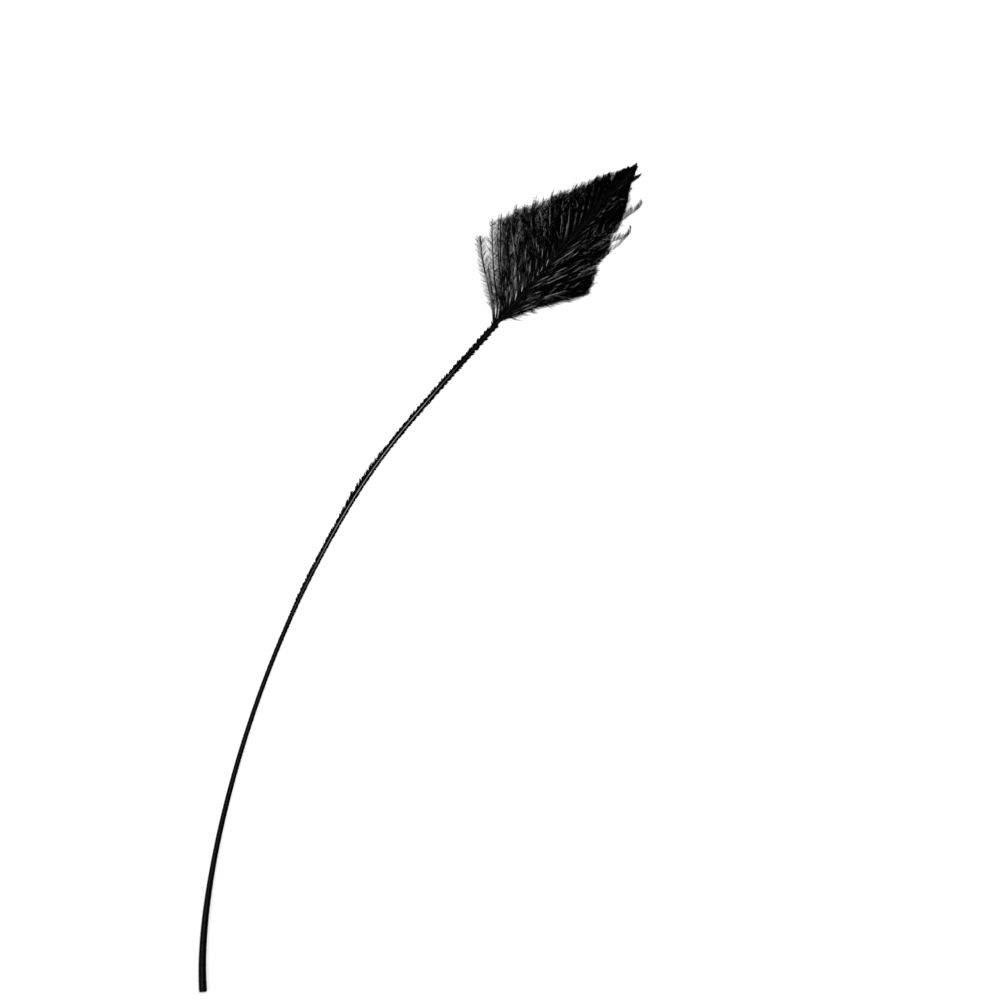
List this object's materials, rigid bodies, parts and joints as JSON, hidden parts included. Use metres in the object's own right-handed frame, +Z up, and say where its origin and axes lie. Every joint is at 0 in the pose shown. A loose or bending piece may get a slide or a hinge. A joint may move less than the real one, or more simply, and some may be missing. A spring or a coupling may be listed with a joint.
{
  "type": "ostrich feather",
  "caption": "Dyed ostrich feather with a bowed bare quill and a small arrowhead vane at its tip, lying flat on a surface.",
  "frame": {"origin": "middle of the bounding box's underside, on the surface that the feather lies on", "axes": "+X from the cut end of the quill to the tip of the vane, +Y to the side that the quill bows to, +Z up"},
  "size_m": [0.3408, 0.0488, 0.0045],
  "materials": {
    "dyed_feather": "black dyed keratin: satin quill, soft matt barbs"
  },
  "bodies": {
    "root": {"feather": "dyed_feather"}
  },
  "joints": []
}
